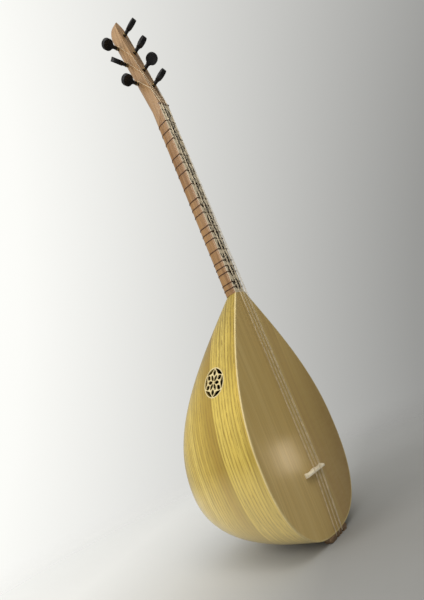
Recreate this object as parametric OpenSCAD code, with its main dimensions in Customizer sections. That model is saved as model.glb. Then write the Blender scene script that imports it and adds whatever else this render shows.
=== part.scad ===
// Short-necked long lute with a carved bowl, tied frets and seven strings.
// Units are millimetres. +Z runs up the neck, the soundboard faces -Y, +X is the player's treble side.
// z = 0 is the flat lower face of the string holder, y = 0 is the front of the soundboard.

/* [Scale] */
// open string length from nut to bridge
scale_len = 750; // [650:1:880]
// distance from the nut to the joint of neck and bowl
neck_len = 417; // [350:1:520]
// length of the soundboard
body_len = 434; // [380:1:460]
// bridge above the soundboard's lower edge
bridge_up = 101; // [80:1:130]

/* [Bowl] */
// half of the greatest width
body_hw = 128; // [100:1:150]
// height of the greatest width above the lower edge
body_widest = 160; // [120:1:200]
// fullness of the lower outline
body_full = 2.5; // [2:0.05:3]
// greatest depth from the front of the soundboard
bowl_depth = 250; // [180:1:270]
// height of the greatest depth above the lower edge
bowl_deepest = 128; // [100:1:180]
// fullness of the bowl in profile
bowl_full = 2.45; // [2:0.05:3]
// fullness of the bowl across
bowl_round = 2.45; // [2:0.05:3]
// wall of the carved bowl
wall = 5; // [3:0.5:8]
// length of the solid throat
throat = 62; // [30:1:90]

/* [Soundboard] */
// thickness of the soundboard
top_t = 3; // [2:0.1:5]
// width of the edge binding
bind_w = 2.6; // [1:0.1:5]

/* [Rosette] */
// radius of the openwork rosette
rose_r = 26.5; // [15:0.5:35]
// thickness of the rosette
rose_t = 2.4; // [1:0.1:4]
// height of the rosette above the lower edge
rose_z = 297; // [200:1:340]
// place of the rosette round the flank, in degrees from the edge
rose_turn = 14.8; // [5:1:60]

/* [Neck] */
// half of the neck's width
neck_hw = 13.5; // [11:0.1:18]
// depth of neck and fingerboard together
neck_d = 30; // [24:0.5:36]
// thickness of the fingerboard
board_t = 3; // [2:0.1:5]
// length of the tenon in the bowl
tenon = 34; // [10:1:50]

/* [Head] */
// angle that the head leans back
head_lean = 7.85; // [0:0.05:15]
// length of the head along its front
head_len = 245; // [180:1:280]

/* [Pegs] */
// first front peg from the nut
fpeg_t1 = 52; // [40:1:60]
// second front peg from the nut
fpeg_t2 = 98; // [90:1:110]
// third front peg from the nut
fpeg_t3 = 148; // [140:1:155]
// fourth front peg from the nut
fpeg_t4 = 202; // [195:1:210]
// first side peg from the nut
speg_t1 = 76; // [70:1:85]
// second side peg from the nut
speg_t2 = 130; // [115:1:135]
// third side peg from the nut
speg_t3 = 180; // [165:1:185]
// depth of the side pegs behind the head's front
speg_e = 21; // [15:0.5:24]
// radius of a peg's shaft at the head's surface
peg_r = 3.6; // [2.5:0.1:5]
// taper of the shaft in radius over a millimetre
peg_taper = 0.014; // [0:0.001:0.03]
// height of a peg above the head
peg_out = 41; // [30:1:50]
// radius of the thumb disc
disc_r = 11.8; // [8:0.1:15]
// thickness of the thumb disc
disc_t = 9.6; // [5:0.1:12]
// radial clearance of shaft and bore
peg_fit = 0.05; // [0.01:0.01:0.1]

/* [Frets] */
// width of a tied fret
fret_w = 1.8; // [1:0.1:3]
// thickness of a tied fret
fret_t = 0.9; // [0.5:0.05:1.5]
// clearance of a fret on the neck
fret_fit = 0.1; // [0.05:0.01:0.3]

/* [Bridge and holder] */
// length of the bridge
bridge_l = 55; // [40:1:70]
// thickness of the bridge at its foot
bridge_t = 8; // [5:0.1:10]
// height of the bridge
bridge_h = 9; // [6:0.1:14]
// sideways place of the bridge
bridge_x = -1; // [-6:0.5:6]
// width of the string holder
holder_w = 60; // [40:1:80]
// how far the string holder stands below the soundboard
holder_drop = 7; // [4:0.5:12]
// depth of the string holder
holder_d = 11; // [6:0.5:20]
// sideways place of the string holder
holder_x = -1; // [-6:0.5:6]

/* [Strings] */
// height of the strings over the fingerboard at the nut
nut_h = 2.2; // [1.5:0.1:4]
// radius of the plain strings
thin_r = 0.22; // [0.1:0.01:0.3]
// radius of the wound strings
wound_r = 0.42; // [0.3:0.01:0.6]

/* [Hidden] */
$fn = 48;
z_edge = holder_drop;
z_bridge = z_edge + bridge_up;
z_nut = z_bridge + scale_len;
z_joint = z_edge + body_len;
neck_flat = neck_d - neck_hw;
fpeg_t = [fpeg_t1, fpeg_t2, fpeg_t3, fpeg_t4];
speg_t = [speg_t1, speg_t2, speg_t3];
speg_x = -sqrt(neck_hw * neck_hw - (speg_e - neck_flat) * (speg_e - neck_flat));
rim_y = top_t + 0.02;
wind_r = 0.42;
wind_u = 4.4;
wind_out = peg_r + peg_taper * (wind_u + 2) + 0.01 + 2 * wind_r;

// places of the seven strings across the nut, the bridge and the holder
nut_x = [-9.6, -7.4, -1.6, 0.8, 6.0, 7.9, 9.8];
bridge_sx = [-9.0, -6.4, 0.6, 3.2, 10.0, 12.2, 14.4];
holder_sx = [-9.2, -7.2, 1.8, 3.6, 11.2, 12.8, 14.4];
string_r = [wound_r, thin_r, thin_r, thin_r, wound_r, thin_r, thin_r];

// seventeen-tone row of tied frets, as frequency ratios over the open string
fret_ratio = [18 / 17, 12 / 11, 9 / 8, 81 / 68, 27 / 22, 81 / 64, 4 / 3, 24 / 17, 16 / 11,
    3 / 2, 27 / 17, 18 / 11, 27 / 16, 16 / 9, 32 / 17, 64 / 33, 2, 36 / 17, 24 / 11];

wood_bowl = [0.78, 0.68, 0.36];
wood_top = [0.72, 0.62, 0.42];
wood_pale = [0.88, 0.82, 0.62];
wood_neck = [0.62, 0.47, 0.32];
wood_board = [0.72, 0.66, 0.54];
wood_dark = [0.32, 0.22, 0.15];
bone = [0.90, 0.86, 0.74];
black = [0.05, 0.05, 0.05];
nylon = [0.27, 0.16, 0.09];
steel = [0.72, 0.72, 0.70];

// ---- outline of the body: half-width and depth at a height above the lower edge ----
function half_w(z) = z >= body_widest
    ? neck_hw + (body_hw - neck_hw) * cos(90 * min(1, (z - body_widest) / (body_len - body_widest)))
    : body_hw * pow(max(0, 1 - pow((body_widest - z) / body_widest, body_full)), 1 / body_full);
function deep(z) = z >= bowl_deepest
    ? neck_d + (bowl_depth - neck_d) * cos(90 * min(1, (z - bowl_deepest) / (body_len - bowl_deepest)))
    : bowl_depth * pow(max(0, 1 - pow((bowl_deepest - z) / bowl_deepest, bowl_full)), 1 / bowl_full);

// heights closer together near the lower edge, where the outline turns fastest
function height_at(s) = body_len * (1 - cos(90 * s)) * (1 - 0.15 * s * (1 - s));

// a point of the bowl's skin: turn 0 and 180 are the two edges, inset moves it inwards
function skin(z, turn, inset) =
    let (
        w = max(0.01, half_w(z) - inset),
        d = max(0.01, deep(z) - rim_y - inset),
        c = cos(turn),
        s = max(0, sin(turn))
    )
    [-sign(c) * w * pow(abs(c), 2 / bowl_round), rim_y + d * pow(s, 2 / bowl_round), z_edge + z];

function unit(v) = v / norm(v);

// ---- closed body through sections at heights hs, each with na + 1 points ----
module lofted(hs, na, inset, lip) {
    nz = len(hs);
    rings = [for (z = hs) concat(
        [for (i = [0 : na]) skin(z, 180 * i / na, inset)],
        [for (k = [1, 0]) skin(z, 180 * k, inset) - [0, lip, 0]])];
    nr = na + 3;
    pts = [for (r = rings) for (p = r) p];
    side = [for (j = [0 : nz - 2]) for (i = [0 : nr - 1])
        let (a = j * nr + i, b = j * nr + (i + 1) % nr) [a, b, b + nr, a + nr]];
    low = [[for (i = [nr - 1 : -1 : 0]) i]];
    high = [[for (i = [0 : nr - 1]) (nz - 1) * nr + i]];
    tri = [for (q = side) for (t = [[q[0], q[1], q[2]], [q[0], q[2], q[3]]]) t];
    polyhedron(points = pts, faces = concat(low, tri, high), convexity = 8);
}

outer_h = [for (j = [0 : 58]) max(0.02, height_at(j / 58))];
inner_h = [for (j = [0 : 36]) let (u = j / 36)
    wall + (body_len - throat - wall) * (1 - cos(90 * u)) * (1 - 0.12 * u * (1 - u))];

// ---- place of the rosette on the flank ----
rose_p = skin(rose_z, rose_turn, 0);
rose_n = unit(cross(
    skin(rose_z + 1, rose_turn, 0) - skin(rose_z - 1, rose_turn, 0),
    skin(rose_z, rose_turn + 1, 0) - skin(rose_z, rose_turn - 1, 0)));
rose_out = rose_n[0] < 0 ? rose_n : -rose_n;

// puts a child that points along +Z on the flank with +Z outwards and +X up the body
module on_flank() {
    az = atan2(rose_out[1], rose_out[0]);
    el = acos(rose_out[2]);
    translate(rose_p) rotate([0, el, az]) children();
}

module bowl() {
    color(wood_bowl)
    difference() {
        lofted(outer_h, 44, 0, 0.01);
        lofted(inner_h, 28, wall, 3);
        on_flank() translate([0, 0, -30]) cylinder(h = 60, r = rose_r - 3, $fn = 60);
        on_flank() translate([0, 0, -rose_t]) cylinder(h = 30, r = rose_r + 0.1, $fn = 60);
        translate([-8.05, 8, z_joint - tenon - 0.2]) cube([16.1, 14.1, tenon + 5]);
    }
}

// petals and rim openings of the rosette, drawn flat
module rose_openings() {
    for (k = [0 : 5]) {
        rotate(30 + 60 * k) translate([rose_r * 0.37, 0]) petal(rose_r * 0.26, rose_r * 0.14);
        rotate(60 * k) translate([rose_r * 0.58, 0]) petal(rose_r * 0.17, rose_r * 0.10);
        rotate(30 + 60 * k) translate([rose_r * 0.79, 0]) petal(rose_r * 0.07, rose_r * 0.21);
    }
}

// a pointed oval, half-length a and half-width b
module petal(a, b) {
    polygon([for (i = [0 : 15]) let (s = 360 * i / 16)
        [a * cos(s), b * sin(s) * (0.65 + 0.35 * abs(sin(s)))]]);
}

module side_rosette() {
    color(bone)
    intersection() {
        difference() {
            lofted([for (j = [0 : 12]) rose_z - 32 + 64 * j / 12], 44, 0, 0.01);
            lofted([for (j = [0 : 12]) rose_z - 33 + 66 * j / 12], 44, rose_t, 3);
        }
        on_flank() translate([0, 0, -12]) linear_extrude(height = 24) difference() {
            circle(rose_r, $fn = 60);
            rose_openings();
        }
    }
}

// right-hand outline of the body moved inwards by g, from the lower edge to the joint
function edge_pt(s, g) =
    let (
        z = height_at(s),
        z0 = max(0.02, height_at(max(0, s - 0.004))),
        z1 = height_at(min(1, s + 0.004)),
        tx = half_w(z1) - half_w(z0),
        tz = z1 - z0,
        m = norm([tx, tz])
    )
    s == 1 && g > 0
        ? [half_w(body_len) - g * m / tz, body_len]
        : [half_w(max(0.02, z)) - g * tz / m, z + g * tx / m];

function outline(g, n) = concat(
    [for (i = [1 : n]) edge_pt(i / n, g)],
    [for (i = [n : -1 : 1]) let (p = edge_pt(i / n, g)) [-p[0], p[1]]]);

// turns a flat outline in X and Z into a plate from y = y0 to y = y0 + t
module plate(y0, t) {
    translate([0, y0 + t, 0]) rotate([90, 0, 0]) linear_extrude(height = t) children();
}

module soundboard() {
    color(wood_top)
    intersection() {
        plate(0, top_t) translate([0, z_edge]) polygon(outline(bind_w, 56));
        translate([-200, -1, 0]) cube([400, top_t + 2, z_joint]);
    }
}

module soundboard_binding() {
    color(wood_pale)
    difference() {
        plate(0, top_t) translate([0, z_edge]) polygon(outline(0, 56));
        plate(-1, top_t + 2) translate([0, z_edge]) polygon(outline(bind_w, 56));
    }
}

// section of neck and head: flat sides and a round back, front at y = 0
module neck_section() {
    union() {
        translate([-neck_hw, 0]) square([2 * neck_hw, neck_flat]);
        translate([0, neck_flat]) circle(neck_hw);
    }
}

module in_head() {
    translate([0, 0, z_nut]) rotate([-head_lean, 0, 0]) children();
}

// slanting glue face between neck and head
module scarf() {
    translate([0, 0, z_nut - 8]) rotate([-56, 0, 0]) translate([-50, -90, 0]) cube([100, 180, 400]);
}

module neck() {
    color(wood_neck)
    union() {
        difference() {
            translate([0, 0, z_joint]) linear_extrude(height = z_nut - 10 - z_joint) neck_section();
            translate([-50, -1, z_joint - 1]) cube([100, board_t + 1, 500]);
            scarf();
        }
        translate([-8, 8.05, z_joint - tenon]) cube([16, 14, tenon + 1]);
    }
}

module fingerboard() {
    color(wood_board)
    translate([0, 0, z_joint]) linear_extrude(height = z_nut - 1.5 - z_joint) polygon([
        [-neck_hw, board_t], [-neck_hw, 0.8], [-neck_hw + 0.8, 0],
        [neck_hw - 0.8, 0], [neck_hw, 0.8], [neck_hw, board_t]]);
}

module nut() {
    color(wood_dark)
    difference() {
        translate([-neck_hw, -nut_h, z_nut - 1.5]) cube([2 * neck_hw, board_t + nut_h, 3]);
        for (i = [0 : 6]) translate([nut_x[i], -nut_h, z_nut]) rotate([0, 0, 45])
            cube([2 * string_r[i] + 0.1, 2 * string_r[i] + 0.1, 10], center = true);
    }
}

// the head's front outline narrows to a pointed leaf, its back curves up to the same tip
function leaf(u) = neck_hw * (1 - pow(u, 3)) + 0.01;

module head_front() {
    n = 14;
    ts = 208;
    polygon(concat(
        [[-20, -30], [20, -30], [20, ts - 1]],
        [for (i = [0 : n - 1]) let (u = i / n) [leaf(u), ts + (head_len - ts) * u]],
        [[0, head_len]],
        [for (i = [n - 1 : -1 : 0]) let (u = i / n) [-leaf(u), ts + (head_len - ts) * u]],
        [[-20, ts - 1]]));
}

module head_side() {
    n = 12;
    ts = 208;
    polygon(concat(
        [[-30, 0], [-30, 60], [ts, 60]],
        [for (i = [0 : n]) let (a = 90 * i / n)
            [ts + (head_len + 0.5 - ts) * sin(a), neck_d * cos(a) + 0.01]],
        [[head_len + 0.5, 0]]));
}

module head() {
    color(wood_neck)
    difference() {
        union() {
            intersection() {
                in_head() translate([0, 0, -6]) linear_extrude(height = head_len + 6) neck_section();
                in_head() translate([0, 60, 0]) rotate([90, 0, 0]) linear_extrude(height = 61) head_front();
                in_head() translate([-30, 0, 0]) rotate([90, 0, 90]) linear_extrude(height = 60)
                    mirror([1, -1]) head_side();
            }
            intersection() {
                translate([0, 0, z_nut - 80]) linear_extrude(height = 80) neck_section();
                scarf();
            }
        }
        translate([-50, -20, z_nut - 200]) cube([100, 20 + board_t, 200 + 1.5]);
        for (t = fpeg_t) in_head() translate([0, 0, t]) rotate([90, 0, 0]) peg_bore();
        for (t = speg_t) in_head() translate([speg_x, speg_e, t]) rotate([0, -90, 0]) peg_bore();
    }
}

// all peg shapes stand along +Z with z = 0 at the head's surface
module peg_bore() {
    translate([0, 0, -40]) cylinder(h = 45,
        r1 = peg_r - 40 * peg_taper + peg_fit, r2 = peg_r + 5 * peg_taper + peg_fit);
}

// turned shaft with a collar and a dished thumb disc; inside is the length in the wood
module peg(inside, turn) {
    low = peg_out - disc_r - disc_r + 1;
    rotate([0, 0, turn])
    difference() {
        union() {
            translate([0, 0, -inside]) cylinder(h = inside + low,
                r1 = peg_r - inside * peg_taper, r2 = peg_r + low * peg_taper);
            translate([0, 0, low - 2.6]) cylinder(h = 1.6, r = 4.9);
            translate([0, 0, low - 1.2]) cylinder(h = 3.2, r1 = 4.3, r2 = 4.7);
            translate([0, disc_t / 2, peg_out - disc_r]) rotate([90, 0, 0])
                cylinder(h = disc_t, r = disc_r);
        }
        for (s = [-1, 1]) translate([0, s * (disc_t / 2 + 26.4), peg_out - disc_r]) sphere(28);
    }
}

// turns of wire round a shaft, near the head's surface
module winding(turns) {
    rotate_extrude() for (i = [0 : turns - 1]) {
        translate([wind_out - wind_r, wind_u + (i - (turns - 1) / 2) * 1.7 * wind_r])
            circle(wind_r, $fn = 16);
    }
}

module front_peg(k, turn) {
    color(black)
    in_head() translate([0, 0, fpeg_t[k - 1]]) rotate([90, 0, 0]) peg(neck_d + 0.6, turn);
}

module side_peg(k, turn) {
    color(black)
    in_head() translate([speg_x, speg_e, speg_t[k - 1]]) rotate([0, -90, 0]) peg(-2 * speg_x + 0.6, turn);
}

module front_winding(k) {
    color(steel)
    in_head() translate([0, 0, fpeg_t[k - 1]]) rotate([90, 0, 0]) winding(5);
}

module side_winding(k) {
    color(steel)
    in_head() translate([speg_x, speg_e, speg_t[k - 1]]) rotate([0, -90, 0]) winding(5);
}

// a tied fret: a band round the neck that can be pushed along it
module fret(n) {
    color(nylon)
    translate([0, 0, z_nut - scale_len * (1 - 1 / fret_ratio[n - 1]) - fret_w / 2])
    linear_extrude(height = fret_w) difference() {
        band(fret_fit + fret_t);
        band(fret_fit);
    }
}

module band(g) {
    union() {
        translate([-neck_hw - g, -g]) square([2 * (neck_hw + g), neck_flat + g]);
        translate([0, neck_flat]) circle(neck_hw + g);
    }
}

module bridge() {
    color(bone)
    translate([bridge_x, 0, z_bridge])
    difference() {
        rotate([90, 0, 90]) translate([0, 0, -bridge_l / 2]) linear_extrude(height = bridge_l)
            polygon([[0, -bridge_t / 2], [0, bridge_t / 2],
                [-bridge_h * 0.6, bridge_t * 0.36], [-bridge_h, bridge_t * 0.22],
                [-bridge_h, -bridge_t * 0.22], [-bridge_h * 0.6, -bridge_t * 0.36]]);
        for (s = [-1, 1]) translate([s * bridge_l / 4, -2.2, 0]) scale([1, 1, 1])
            translate([-7, 0, -10]) cube([14, 3, 20]);
        for (i = [0 : 6]) translate([bridge_sx[i] - bridge_x, -bridge_h, 0]) rotate([0, 0, 45])
            cube([2 * string_r[i] + 0.1, 2 * string_r[i] + 0.1, 20], center = true);
    }
}

// carved block under the lower edge, with three lobes and string slots
module string_holder() {
    a = holder_w / 2;
    color(wood_dark)
    difference() {
        plate(-1.6, holder_d + 1.6) polygon(concat(
            [for (i = [0 : 20]) let (x = holder_x - a + holder_w * i / 20) [x, edge_low(x) - 0.05]],
            [[holder_x + a, 3.4], [holder_x + a - 2.4, 0.8], [holder_x + a - 5, 0],
                [holder_x - a + 5, 0], [holder_x - a + 2.4, 0.8], [holder_x - a, 3.4]]));
        for (c = [-8.2, 12.8]) {
            translate([c, -3, -1]) cylinder(h = 60, r = 2.6);
            translate([c - 2.6, -3, -1]) cube([5.2, holder_d * 0.55 + 3, 4.6]);
        }
        translate([1.1, -3, -1]) cube([3.2, holder_d * 0.55 + 3, 4.6]);
        translate([1.1, -3, -1]) cube([3.2, 3.2, 60]);
        translate([-10.8, -3, -1]) cube([5.2, 3.2, 60]);
        translate([10.2, -3, -1]) cube([5.2, 3.2, 60]);
    }
}

// height of the body's lower outline at a distance x from the middle
function edge_low(x) = z_edge
    + body_widest * (1 - pow(1 - pow(abs(x) / body_hw, body_full), 1 / body_full));

// ---- strings: eight-sided wires through a list of points ----
module wire(pts, r) {
    union() for (i = [0 : len(pts) - 2]) {
        v = pts[i + 1] - pts[i];
        l = norm(v);
        before = i == 0 ? 0 : r * 0.6;
        after = i == len(pts) - 2 ? 0 : r * 0.6;
        translate(pts[i]) rotate([0, acos(v[2] / l), atan2(v[1], v[0])])
            translate([0, 0, -before]) cylinder(h = l + before + after, r = r, $fn = 8);
    }
}

// a point given in the head's own frame: across, behind the front face, along
function head_pt(x, e, t) = [x, e * cos(head_lean) + t * sin(head_lean),
    z_nut + t * cos(head_lean) - e * sin(head_lean)];

// touching point of a line from p with a circle round c, on the side of sgn
function touch(p, c, r, sgn) =
    let (d = norm(p - c), a = atan2(p[1] - c[1], p[0] - c[0]), b = acos(r / d))
    [c[0] + r * cos(a + sgn * b), c[1] + r * sin(a + sgn * b)];

function lay(r) = wind_out + r + 0.3;

// string i goes to front peg k: touching point in the plane of across and along
function to_front(i, k) = let (q = touch([nut_x[i], 0], [0, fpeg_t[k - 1]], lay(string_r[i]), 1))
    [head_pt(q[0], -wind_u, q[1])];

// string i goes over the head's left edge at height te and on to side peg k
function to_side(i, k, te) =
    let (q = touch([-0.6 - string_r[i], te], [speg_e, speg_t[k - 1]], lay(string_r[i]), -1))
    [head_pt(speg_x - wind_u, q[0], q[1]),
        head_pt(-neck_hw - 0.35 - string_r[i], -0.35 - string_r[i], te)];

// from the nut over the bridge and down into the holder
function down(i) = [
    [nut_x[i], -nut_h - string_r[i] * 0.2, z_nut],
    [bridge_sx[i], -bridge_h - string_r[i] * 0.2, z_bridge],
    [holder_sx[i], -1.0 - string_r[i], z_edge + 1.6],
    [holder_sx[i], -0.2, 2.6 + string_r[i]],
    [holder_sx[i], holder_d * 0.5, 2.2 + string_r[i]]];

module string_on_front(i, k) {
    color(steel) wire(concat(to_front(i, k), down(i)), string_r[i]);
}

module string_on_side(i, k, te) {
    color(steel) wire(concat(to_side(i, k, te), down(i)), string_r[i]);
}

bowl();
side_rosette();
soundboard();
soundboard_binding();
neck();
fingerboard();
nut();
head();
bridge();
string_holder();
front_peg(1, 54);  // front_peg_1
front_peg(2, -43);  // front_peg_2
front_peg(3, 61);  // front_peg_3
front_peg(4, 56);  // front_peg_4
side_peg(1, -60);  // side_peg_1
side_peg(2, 28);  // side_peg_2
side_peg(3, -64);  // side_peg_3
front_winding(1);  // front_winding_1
front_winding(2);  // front_winding_2
front_winding(3);  // front_winding_3
front_winding(4);  // front_winding_4
side_winding(1);  // side_winding_1
side_winding(2);  // side_winding_2
side_winding(3);  // side_winding_3
string_on_side(0, 1, 40);  // string_1
string_on_side(1, 2, 86);  // string_2
string_on_side(2, 3, 132);  // string_3
string_on_front(3, 1);  // string_4
string_on_front(4, 2);  // string_5
string_on_front(5, 3);  // string_6
string_on_front(6, 4);  // string_7
fret(1);  // fret_01
fret(2);  // fret_02
fret(3);  // fret_03
fret(4);  // fret_04
fret(5);  // fret_05
fret(6);  // fret_06
fret(7);  // fret_07
fret(8);  // fret_08
fret(9);  // fret_09
fret(10);  // fret_10
fret(11);  // fret_11
fret(12);  // fret_12
fret(13);  // fret_13
fret(14);  // fret_14
fret(15);  // fret_15
fret(16);  // fret_16
fret(17);  // fret_17
fret(18);  // fret_18
fret(19);  // fret_19
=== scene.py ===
"""A short-necked long lute with a carved bowl, standing on the block that holds its strings."""

import math
import random

import bmesh
import bpy
from mathutils import Matrix, Vector


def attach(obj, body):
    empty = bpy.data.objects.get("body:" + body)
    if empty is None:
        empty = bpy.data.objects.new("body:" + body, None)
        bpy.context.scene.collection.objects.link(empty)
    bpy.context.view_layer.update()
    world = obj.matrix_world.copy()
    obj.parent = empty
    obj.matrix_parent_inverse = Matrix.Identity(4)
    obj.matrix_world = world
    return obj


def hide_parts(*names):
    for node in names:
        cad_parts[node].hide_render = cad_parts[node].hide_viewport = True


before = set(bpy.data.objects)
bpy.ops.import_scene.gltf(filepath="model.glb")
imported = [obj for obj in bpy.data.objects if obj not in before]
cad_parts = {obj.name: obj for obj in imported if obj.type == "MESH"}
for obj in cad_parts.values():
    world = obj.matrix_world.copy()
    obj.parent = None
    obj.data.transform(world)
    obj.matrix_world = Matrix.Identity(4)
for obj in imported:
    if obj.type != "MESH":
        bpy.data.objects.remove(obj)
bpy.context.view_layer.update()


# ---- Camera -------------------------------------------------------------------------------
# It looks at the bass side from low down, and is rolled so that the instrument leans.
MM = 0.001

camera_data = bpy.data.cameras.new("camera")
camera_data.sensor_fit = "VERTICAL"
camera_data.sensor_height = 36.0
camera_data.lens = 27.83
camera_data.clip_start = 0.01
camera_data.clip_end = 50.0
camera = bpy.data.objects.new("camera", camera_data)
bpy.context.scene.collection.objects.link(camera)
camera_right = Vector((0.63099, -0.68817, -0.35815))
camera_up = Vector((0.07507, -0.40533, 0.91108))
camera_turn = Matrix((camera_right, camera_up, camera_right.cross(camera_up))).transposed()
camera.matrix_world = Matrix.Translation((-0.69145, -0.47089, 0.27193)) @ camera_turn.to_4x4()
bpy.context.scene.camera = camera


# ---- Bowl ---------------------------------------------------------------------------------
# Carved from one block of yellow mulberry, walls 5 mm thick, its grain lying in sheets that run
# with the soundboard. Glossy lacquer outside, bare wood inside; a round hole in the bass flank.
TAIL = 7.0
BODY_LENGTH = 434.0
BODY_HALF, WIDEST, OUTLINE_FULL = 128.0, 160.0, 2.5
BOWL_DEPTH, DEEPEST, PROFILE_FULL = 250.0, 128.0, 2.45
ROUND = 2.45
TOP = 3.0
NECK_HALF, NECK_DEPTH = 13.5, 30.0
BOWL_WALL = 5.0
ROSETTE_RADIUS, ROSETTE_UP, ROSETTE_TURN = 26.5, 297.0, 14.8


def half_width(z):
    """Half of the body's width at a height above its lower edge, all in millimetres."""
    if z >= WIDEST:
        share = min(1.0, (z - WIDEST) / (BODY_LENGTH - WIDEST))
        return NECK_HALF + (BODY_HALF - NECK_HALF) * math.cos(math.pi / 2 * share)
    below = max(0.0, (WIDEST - z) / WIDEST)
    return BODY_HALF * max(0.0, 1 - below**OUTLINE_FULL) ** (1 / OUTLINE_FULL)


def body_depth(z):
    """Depth of the body behind the soundboard's front at a height above its lower edge."""
    if z >= DEEPEST:
        share = min(1.0, (z - DEEPEST) / (BODY_LENGTH - DEEPEST))
        return NECK_DEPTH + (BOWL_DEPTH - NECK_DEPTH) * math.cos(math.pi / 2 * share)
    below = max(0.0, (DEEPEST - z) / DEEPEST)
    return BOWL_DEPTH * max(0.0, 1 - below**PROFILE_FULL) ** (1 / PROFILE_FULL)


def height_at(share):
    """Heights that lie closer together near the lower edge, where the outline turns fastest."""
    return BODY_LENGTH * (1 - math.cos(math.pi / 2 * share)) * (1 - 0.15 * share * (1 - share))


def skin(z, turn):
    """A point of the bowl's outside in metres; turn runs from 0 at the bass edge to 180 degrees."""
    angle = math.radians(turn)
    across, back = math.cos(angle), max(0.0, math.sin(angle))
    x = -math.copysign(half_width(z) * abs(across) ** (2 / ROUND), across)
    y = TOP + (body_depth(z) - TOP) * back ** (2 / ROUND)
    return Vector((x, y, TAIL + z)) * MM


def outside(point):
    """Above 0 outside the bowl, below 0 inside."""
    z = min(max(point.z / MM - TAIL, 0.01), BODY_LENGTH - 0.01)
    across = abs(point.x / MM) / half_width(z)
    back = max(0.0, point.y / MM - TOP) / (body_depth(z) - TOP)
    return across**ROUND + back**ROUND - 1


rosette_middle = skin(ROSETTE_UP, ROSETTE_TURN)
rosette_up = (skin(ROSETTE_UP + 1, ROSETTE_TURN) - skin(ROSETTE_UP - 1, ROSETTE_TURN)).normalized()
rosette_round = skin(ROSETTE_UP, ROSETTE_TURN + 1) - skin(ROSETTE_UP, ROSETTE_TURN - 1)
rosette_out = rosette_up.cross(rosette_round).normalized()
if rosette_out.x > 0:
    rosette_out = -rosette_out
rosette_side = rosette_out.cross(rosette_up).normalized()


def on_flank(side, up, out):
    """A point of the bowl's bass flank, from the middle of the rosette, in millimetres."""
    start = rosette_middle + (rosette_side * side + rosette_up * up) * MM
    low, high = -0.02, 0.02
    for _ in range(30):
        middle = (low + high) / 2
        if outside(start + rosette_out * middle) > 0:
            high = middle
        else:
            low = middle
    return start + rosette_out * (low + out * MM)


def new_piece(name, mesh_or_bmesh, body, wood, *, smooth=0.6, stands_for=()):
    """Makes a piece of a mesh, gives it its finish and fixes it to its body."""
    if isinstance(mesh_or_bmesh, bmesh.types.BMesh):
        mesh = bpy.data.meshes.new(name)
        mesh_or_bmesh.to_mesh(mesh)
        mesh_or_bmesh.free()
    else:
        mesh = mesh_or_bmesh
    piece = bpy.data.objects.new(name, mesh)
    bpy.context.scene.collection.objects.link(piece)
    mesh.materials.clear()
    mesh.materials.append(wood)
    if smooth:
        mesh.polygons.foreach_set("use_smooth", [True] * len(mesh.polygons))
        mesh.set_sharp_from_angle(angle=smooth)
    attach(piece, body)
    if stands_for:
        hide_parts(*stands_for)
    return piece


class Wiring:
    """A tree of shader nodes, added one by one and wired as they are made."""

    def __init__(self, tree):
        self.tree = tree

    def add(self, kind, *wires, **settings):
        """One node; each wire is (input, value or other node's output)."""
        node = self.tree.nodes.new("ShaderNode" + kind)
        for key, value in settings.items():
            setattr(node, key, value)
        for target, source in wires:
            if isinstance(source, bpy.types.NodeSocket):
                self.tree.links.new(source, node.inputs[target])
            else:
                node.inputs[target].default_value = source
        return node

    def ramp(self, value, *stops):
        """Colours or greys by value; stops are (position, colour)."""
        node = self.add("ValToRGB", ("Fac", value))
        bar = node.color_ramp.elements
        while len(bar) < len(stops):
            bar.new(0.5)
        for element, (position, colour) in zip(bar, stops):
            element.position = position
            element.color = (*colour, 1) if isinstance(colour, tuple) else (colour,) * 3 + (1,)
        return node.outputs["Color"]

    def mix(self, share, first, second, how="MIX"):
        """Two colours, blended."""
        node = self.add("Mix", data_type="RGBA", blend_type=how)
        for index, value in ((0, share), (6, first), (7, second)):
            if isinstance(value, bpy.types.NodeSocket):
                self.tree.links.new(value, node.inputs[index])
            else:
                node.inputs[index].default_value = (*value, 1) if isinstance(value, tuple) else value
        return node.outputs[2]

    def maths(self, how, first, second=0.0):
        """A sum on two values."""
        return self.add("Math", (0, first), (1, second), operation=how).outputs[0]


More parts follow.
